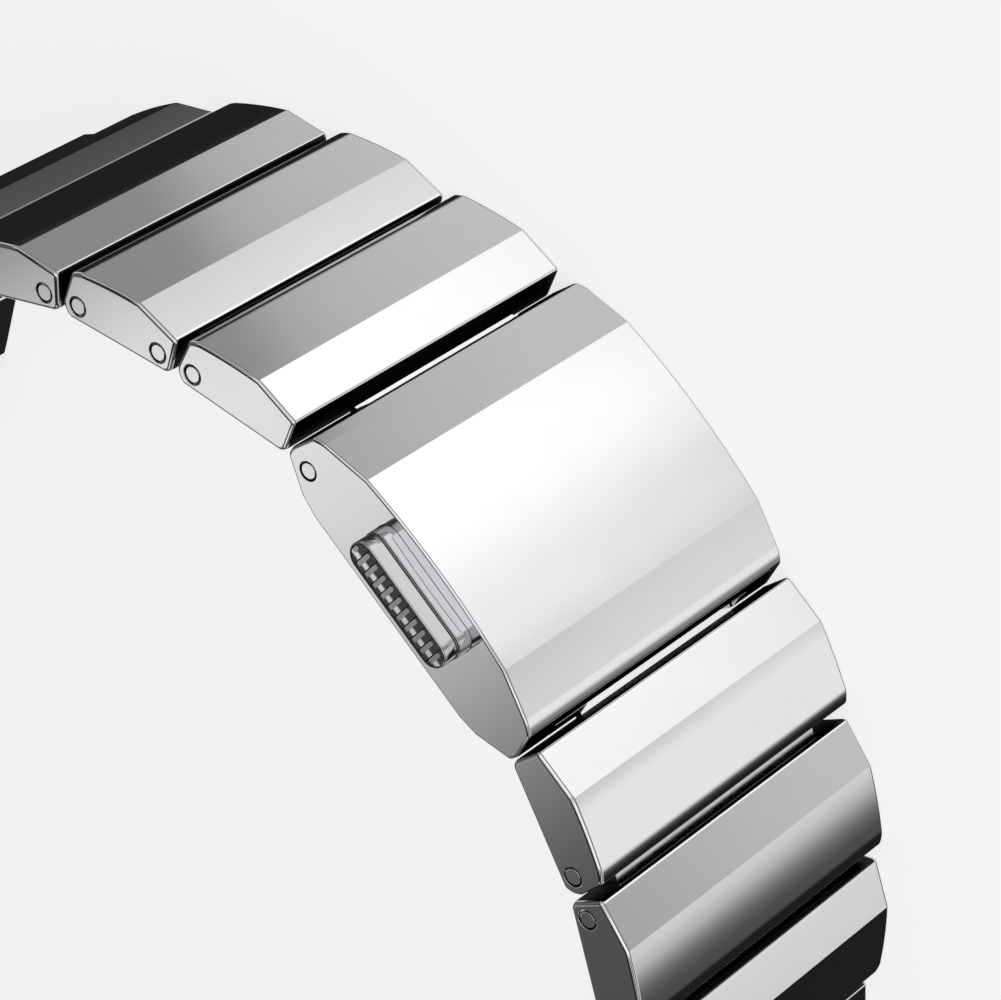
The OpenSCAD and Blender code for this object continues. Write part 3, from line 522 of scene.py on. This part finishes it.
# Ridges stay crisp, also where they run on over the rounding, and the rounding itself shades softly
def markCrisp(mesh, soft, values, axis):
    for edge in mesh.edges:
        if len(edge.link_faces) != 2:
            continue
        turn = math.degrees(edge.calc_face_angle(0))
        rounded = sum(f in soft for f in edge.link_faces)
        if rounded == 2:
            climbs = abs(edge.verts[0].co[axis] - edge.verts[1].co[axis]) > telling["across"] * mm
            edge.smooth = not (climbs and turn > telling["ridge"] * values["crisp"])
        else:
            edge.smooth = rounded == 1 or turn <= values["crisp"]


# finishes are the piece's materials, and pick gives the number of a face's own
# cut is a point, a normal and a reach: the faces near the point are cut along that plane
def roundedCopy(node, kind, levels, axis=2, finishes=None, pick=None, cut=None):
    values = rounding[kind]
    mesh = bmesh.new()
    mesh.from_mesh(frame["nodes"][node].data)
    bmesh.ops.remove_doubles(mesh, verts=mesh.verts, dist=telling["weld"] * mm)
    bmesh.ops.dissolve_limit(mesh, angle_limit=math.radians(telling["flat"]), verts=mesh.verts,
                             edges=mesh.edges)
    if kind == "link":
        # A cut across the middle leaves each side face at most one pin hole, so that it fills without folds
        low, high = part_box(node)
        flat = [f for f in mesh.faces if abs(f.normal[axis]) > telling["side"]]
        cutFaces(mesh, flat, (low + high) / 2, longAxis(node))
    soft = roundRims(mesh, values, levels, axis)
    # A hairline frame inside each side face keeps its shading flat up to the rounding
    sides = [f for f in mesh.faces if f not in soft and abs(f.normal[axis]) > telling["side"]
             and any(abs(f.verts[0].co[axis] - level) < telling["sideLevel"] * mm for level in levels)]
    bmesh.ops.inset_region(mesh, faces=sides, thickness=frameWidth * mm, use_boundary=True,
                           use_even_offset=True)
    if cut:
        point, normal, reach = cut
        near = [f for f in mesh.faces if f not in soft
                and (f.calc_center_median() - point).xy.length < reach]
        cutFaces(mesh, near, point, normal)
    soft = {f for f in soft if f.is_valid}
    mesh.normal_update()
    for face in mesh.faces:
        face.smooth = True
        if pick and face not in soft:
            face.material_index = int(pick(face, face.calc_center_median() / mm))
        else:
            face.material_index = 0
    markCrisp(mesh, soft, values, axis)
    data = bpy.data.meshes.new(node + "_finished")
    mesh.to_mesh(data)
    mesh.free()
    piece = bpy.data.objects.new(node + "_finished", data)
    bpy.context.scene.collection.objects.link(piece)
    for finish in finishes or [materialOf[slotOf[node]]]:
        data.materials.append(finish)
    weigh = piece.modifiers.new("facets kept flat", "WEIGHTED_NORMAL")
    weigh.keep_sharp = True
    weigh.use_face_influence = True
    return place(piece, node)


# The two planes of a piece's ends along z
def sideLevels(node):
    low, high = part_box(node)
    return [low.z, high.z]


# Faces across the gaps, which get the painted shade: end faces, and the walls of pockets between the side
# faces
# endTurn and sideTurn are how squarely such faces look along the link or to its side
# deep is how many millimetres a wall lies inside the side faces at least
gap = {"endTurn": 0.75, "sideTurn": 0.9, "deep": 0.5}


def isInner(face, centre, lengthAxis, width):
    if abs(face.normal.z) > gap["sideTurn"]:
        return gap["deep"] < centre.z < width - gap["deep"]
    return abs(face.normal.dot(lengthAxis)) > gap["endTurn"]


# The strap's width in millimetres
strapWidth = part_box("link_a1")[1].z / mm
links = [n for n in frame["nodes"] if n.startswith(("link_", "end_link_"))]

# The neck of a first link has painted shade beside the link, and from bright mm before its hinge on a
# painted highlight bar
# The neck reaches that many mm from the hinge, and its outer faces look farther to -y than outward
neck = {"bright": 2.05, "reach": 2.6, "outward": -0.5}
hingeOf = {"link_a1": "clasp_hinge_pin", "link_b1": "insert_hinge_pin"}


def finishLink(name):
    lengthAxis = longAxis(name)
    cut = None
    if name in hingeOf:
        low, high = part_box(hingeOf[name])
        hinge = (low + high) / 2
        low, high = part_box(name)
        if lengthAxis.dot(hinge - (low + high) / 2) < 0:
            lengthAxis = -lengthAxis
        cut = (hinge - lengthAxis * neck["bright"] * mm, lengthAxis, neck["reach"] / 2 * mm)

    # Material 1 is the painted shade in the gaps, 2 the painted highlight bar on the neck
    def pick(face, centre):
        if isInner(face, centre, lengthAxis, strapWidth):
            return 1
        if cut and face.normal.y < neck["outward"]:
            away = (centre - hinge / mm).xy
            if away.length < neck["reach"]:
                return 2 if away.dot(lengthAxis.xy) > -neck["bright"] else 1
        return 0

    roundedCopy(name, "link", [0.0, strapWidth * mm], finishes=[polishedSteel, gapShadeSteel, paintedBarSteel],
                pick=pick, cut=cut)


for name in links:
    finishLink(name)
print(len(links), "links finished")
for name in frame["nodes"]:
    if name.startswith("pins_") or name.endswith("hinge_pin"):
        roundedCopy(name, "pin", sideLevels(name), finishes=[polishedSteel])
    elif name.startswith("connector_"):
        roundedCopy(name, "connector", sideLevels(name))
print("pins and connectors finished")

# The clasp is polished outside; its recess, mouth, channel and end faces get the painted shade of dark
# milled steel
# Inner faces span less than the share span of the strap's width and lie roof mm below the outer face
clasp = {"span": 0.9, "roof": 1.0}
claspLow, claspHigh = (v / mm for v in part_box("clasp_case"))


def isInsideClasp(face, centre):
    inX = min(centre.x - claspLow.x, claspHigh.x - centre.x)
    inZ = min(centre.z, strapWidth - centre.z)
    span = (max(v.co.z for v in face.verts) - min(v.co.z for v in face.verts)) / mm
    if abs(face.normal.z) > gap["sideTurn"]:
        return inZ > gap["deep"]
    if abs(face.normal.x) > gap["sideTurn"]:
        return True
    return inX > gap["deep"] and span < clasp["span"] * strapWidth and centre.y > claspLow.y + clasp["roof"]


roundedCopy("clasp_case", "clasp", [0.0, strapWidth * mm], finishes=[polishedSteel, gapShadeSteel],
            pick=isInsideClasp)
roundedCopy("clasp_cover", "cover", [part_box("clasp_cover")[1].y], axis=1)
roundedCopy("insert_blade", "blade", sideLevels("insert_blade"))

# The shank's top face is at shankTop mm, give or take play
# A face of the cap that looks along z by more than wallTurn isn't its wall
button = {"shankTop": 22.95, "play": 0.01, "wallTurn": 0.45}
capLow, capHigh = (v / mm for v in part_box("button_cap"))


# The cap's outer wall is bright, and its rim, underside and pocket are black oxide, which paints shade into
# the groove round the shank
def isCapInside(face, centre):
    outward = (centre - (capLow + capHigh) / 2).dot(face.normal)
    return abs(face.normal.z) > button["wallTurn"] or outward < 0


# The shank's wall is bright, and its neck in the cap is black: painted shade in the groove under the cap
def isShankNeck(face, centre):
    return centre.z > button["shankTop"] - button["play"]


roundedCopy("button_body", "shank", [button["shankTop"] * mm], finishes=[lappedSteel, blackOxideShadeSteel],
            pick=isShankNeck)
roundedCopy("button_cap", "cap", sideLevels("button_cap"), finishes=[lappedSteel, blackOxideShadeSteel],
            pick=isCapInside)
print("clasp finished")


def makeCatch():
    leaf = bpy.data.objects.new("catch_spring_finished", frame["nodes"]["catch_spring"].data.copy())
    bpy.context.scene.collection.objects.link(leaf)
    place(leaf, "catch_spring")
    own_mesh(leaf)


makeCatch()
print("catch spring finished")


# Turns point lists and faces into a piece with its materials
def meshPiece(name, points, faces, materials, kinds=None, smooth=False):
    data = bpy.data.meshes.new(name)
    data.from_pydata([tuple(c * mm for c in p) for p in points], [], faces)
    for material in materials:
        data.materials.append(material)
    for index, face in enumerate(data.polygons):
        face.use_smooth = smooth
        face.material_index = kinds[index] if kinds else 0
    piece = bpy.data.objects.new(name, data)
    bpy.context.scene.collection.objects.link(piece)
    return piece


# The cap's inlay: a crowned field, cut by slots down to a floor, with a flat bar beside each slot
# Lengths are in millimetres; crest and barTop are measured from the cap's rim, slotDepth from the crest
# barStart and barEnd are shares of the field's width
# The field's round ends come to a point, so its floor starts at the share floorStart of its length,
# and each crown at the share crownStart of its own
# The feet differ, so that no two undersides lie in one plane
inlay = {
    "periods": 11, "slot": 0.07, "slotDepth": 0.2, "play": 0.005,
    "crown": 40, "crest": 0.07, "crestShift": 0.25, "crownStart": 0.01, "crownFoot": 0.02,
    "bar": 0.26, "barTop": 0.02, "barStart": 0.15, "barEnd": 0.85, "barFoot": 0.03, "floorStart": 0.002,
    "floorColumns": 48, "floorRows": 2, "crownColumns": 8, "crownRows": 28, "barTurns": 10, "barRows": 2,
}


def makeInlay():
    low, high = (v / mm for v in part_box("button_inlay"))
    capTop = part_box("button_cap")[1].z / mm
    middle = (low + high) / 2
    half = (high.y - low.y) / 2 - inlay["play"]
    flatHalf = (high.x - low.x) / 2 - inlay["play"] - half
    length = 2 * (flatHalf + half)
    pitch = length / inlay["periods"]
    crestY = middle.y + inlay["crestShift"]

    def halfWidth(x):
        over = max(0, abs(x - middle.x) - flatHalf)
        return math.sqrt(max(0, half * half - over * over))

    def crownHeight(y):
        return capTop - inlay["crest"] - (y - crestY) ** 2 / (2 * inlay["crown"])

    points, faces, kinds = [], [], []

    # A block with a top surface and straight sides; its columns of points run from the -y to the +y side
    # kind and sideKind are the numbers of the top's and the sides' material
    def addBlock(columns, top, bottom, kind, sideKind):
        start = len(points)
        rows = len(columns[0])
        for column in columns:
            points.extend((x, y, top(y)) for x, y in column)
        floorStart = len(points)
        for column in columns:
            points.extend((x, y, bottom) for x, y in column)
        for i in range(len(columns) - 1):
            for k in range(rows - 1):
                a = start + i * rows + k
                faces.append((a, a + rows, a + rows + 1, a + 1))
                b = floorStart + i * rows + k
                faces.append((b, b + 1, b + rows + 1, b + rows))
                kinds.extend([kind, sideKind])
        rim = ([i * rows for i in range(len(columns))]
               + [(len(columns) - 1) * rows + k for k in range(1, rows)]
               + [i * rows + rows - 1 for i in range(len(columns) - 2, -1, -1)]
               + [k for k in range(rows - 2, 0, -1)])
        for a, b in zip(rim, rim[1:] + rim[:1]):
            faces.append((start + a, floorStart + a, floorStart + b, start + b))
        kinds.extend([sideKind] * len(rim))

    def columnAt(x, rows):
        w = halfWidth(x)
        return [(x, middle.y + w * (2 * k / rows - 1)) for k in range(rows + 1)]

    left = middle.x - length / 2
    floorTop = capTop - inlay["crest"] - inlay["slotDepth"]
    shares = [inlay["floorStart"] + (1 - 2 * inlay["floorStart"]) * i / inlay["floorColumns"]
              for i in range(inlay["floorColumns"] + 1)]
    addBlock([columnAt(left + length * share, inlay["floorRows"]) for share in shares],
             lambda y: floorTop, low.z, 2, 2)
    for p in range(inlay["periods"]):
        start = left + p * pitch
        crowned = pitch - inlay["slot"]
        shares = [max(i / inlay["crownColumns"], inlay["crownStart"])
                  for i in range(inlay["crownColumns"] + 1)]
        addBlock([columnAt(start + crowned * share, inlay["crownRows"]) for share in shares],
                 crownHeight, low.z + inlay["crownFoot"], 0, 2)
        # The bar's length follows the field's width at its own place, with a round end on the -y side
        barHigh = start + crowned
        w = min(halfWidth(barHigh), halfWidth(barHigh - inlay["bar"]))
        y0 = middle.y + w * (2 * inlay["barStart"] - 1)
        y1 = middle.y + w * (2 * inlay["barEnd"] - 1)
        r = inlay["bar"] / 2
        if y1 - y0 < 2 * r:
            continue
        columns = []
        for i in range(inlay["barTurns"] + 1):
            a = math.pi * i / inlay["barTurns"]
            x, y = barHigh - r - r * math.cos(a), y0 + r - r * math.sin(a)
            columns.append([(x, y + (y1 - y) * k / inlay["barRows"]) for k in range(inlay["barRows"] + 1)])
        addBlock(columns, lambda y: capTop - inlay["barTop"], low.z + inlay["barFoot"], 1, 1)
    # The crest's bare band is a painted highlight where the crest catches the studio's light
    crestHighlightSteel = oxideMaterial("black oxide on steel, worn bright along its crest", crestY * mm)
    piece = meshPiece("button_inlay_finished", points, faces, [crestHighlightSteel, rubbedSteel, blackOxideShadeSteel], kinds)
    return place(piece, "button_inlay")


makeInlay()
print("inlay finished")


# Round-wire springs, closed at both ends, in millimetres
# closed is how many turns lie flat at each end, closedRise wire radii apart
# travel is that of the joints that press the springs
# rings to a turn and sides to a ring set how round the wire is drawn
spring = {
    "closed": 1.0, "closedRise": 2.05, "rings": 28, "sides": 10, "travel": 0.9,
    "buttonWire": 0.1, "buttonTurns": 6, "buttonApart": 5.2, "barWire": 0.08, "barTurns": 13,
}


# Part of a coil, from the turn first to the turn last of a spring whose turns lie between low and high
def makeCoil(name, centre, radius, wire, low, high, turns, first, last):
    points, faces = [], []
    sides, closed = spring["sides"], spring["closed"]
    flatRise = spring["closedRise"] * wire
    openRise = high - low - 2 * wire - 2 * closed * flatRise
    rings = int((last - first) * spring["rings"])
    for i in range(rings + 1):
        t = first + i / spring["rings"]
        share = min(max((t - closed) / (turns - 2 * closed), 0), 1)
        rise = (min(t, closed) + max(0, t - turns + closed)) * flatRise + share * openRise
        turn = 2 * math.pi * t
        for k in range(sides):
            b = 2 * math.pi * k / sides
            r = radius + wire * math.cos(b)
            points.append((centre.x + r * math.cos(turn), centre.y + r * math.sin(turn),
                           low + wire + rise + wire * math.sin(b)))
    for i in range(rings):
        for k in range(sides):
            a, b = i * sides + k, i * sides + (k + 1) % sides
            faces.append((a, b, b + sides, a + sides))
    faces.append(tuple(range(sides - 1, -1, -1)))
    faces.append(tuple(range(rings * sides, (rings + 1) * sides)))
    return meshPiece(name, points, faces, [springSteel], smooth=True)


def makeSprings():
    low, high = (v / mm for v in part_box("button_springs"))
    middle = (low + high) / 2
    radius = (high.y - low.y) / 2 - spring["buttonWire"]
    turns = spring["buttonTurns"]
    for side, shift in (("left", spring["buttonApart"] / 2), ("right", -spring["buttonApart"] / 2)):
        coil = makeCoil(f"button_spring_{side}", Vector((middle.x + shift, middle.y, 0)), radius,
                        spring["buttonWire"], low.z, high.z, turns, 0, turns)
        place(coil, "button_springs")
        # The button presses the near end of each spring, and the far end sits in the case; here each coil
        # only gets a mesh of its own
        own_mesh(coil)
    for side in "ab":
        node = f"spring_bar_spring_{side}"
        low, high = (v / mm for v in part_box(node))
        middle = (low + high) / 2
        radius = (high.y - low.y) / 2 - spring["barWire"]
        turns = spring["barTurns"]
        for end, first, last in (("far", 0, turns / 2), ("near", turns / 2, turns)):
            coil = makeCoil(f"spring_bar_coil_{side}_{end}", middle, radius, spring["barWire"],
                            low.z, high.z, turns, first, last)
            place(coil, node)
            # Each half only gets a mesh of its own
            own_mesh(coil)


makeSprings()
print("springs finished")
